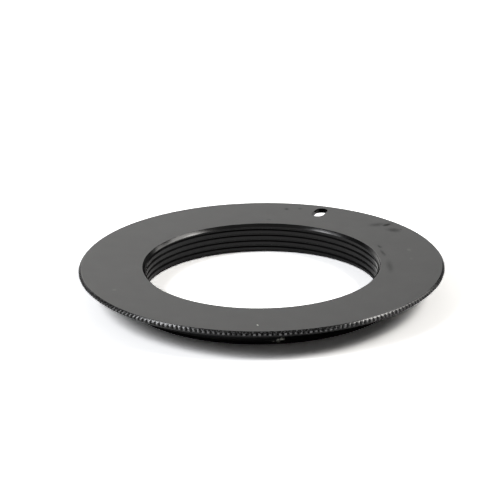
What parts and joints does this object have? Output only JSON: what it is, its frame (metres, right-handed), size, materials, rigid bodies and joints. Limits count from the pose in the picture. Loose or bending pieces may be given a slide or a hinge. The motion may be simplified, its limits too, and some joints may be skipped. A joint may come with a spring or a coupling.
{
  "type": "lens adapter ring",
  "caption": "Thin knurled metal ring with a threaded lens bore and a bayonet spigot, for fitting a screw-mount lens to a bayonet-mount camera.",
  "frame": {"origin": "centre of the spigot's lower face, on the ring's axis, where the ring rests on a surface", "axes": "+Z along the ring's axis towards the lens; the lock slot lies on the far side, 22 degrees clockwise from +Y as seen from the lens"},
  "size_m": [0.065, 0.065, 0.0053],
  "materials": {
    "anodised_aluminium": "fine matt black anodising"
  },
  "bodies": {
    "root": {"adapter_ring": "anodised_aluminium"}
  },
  "joints": []
}
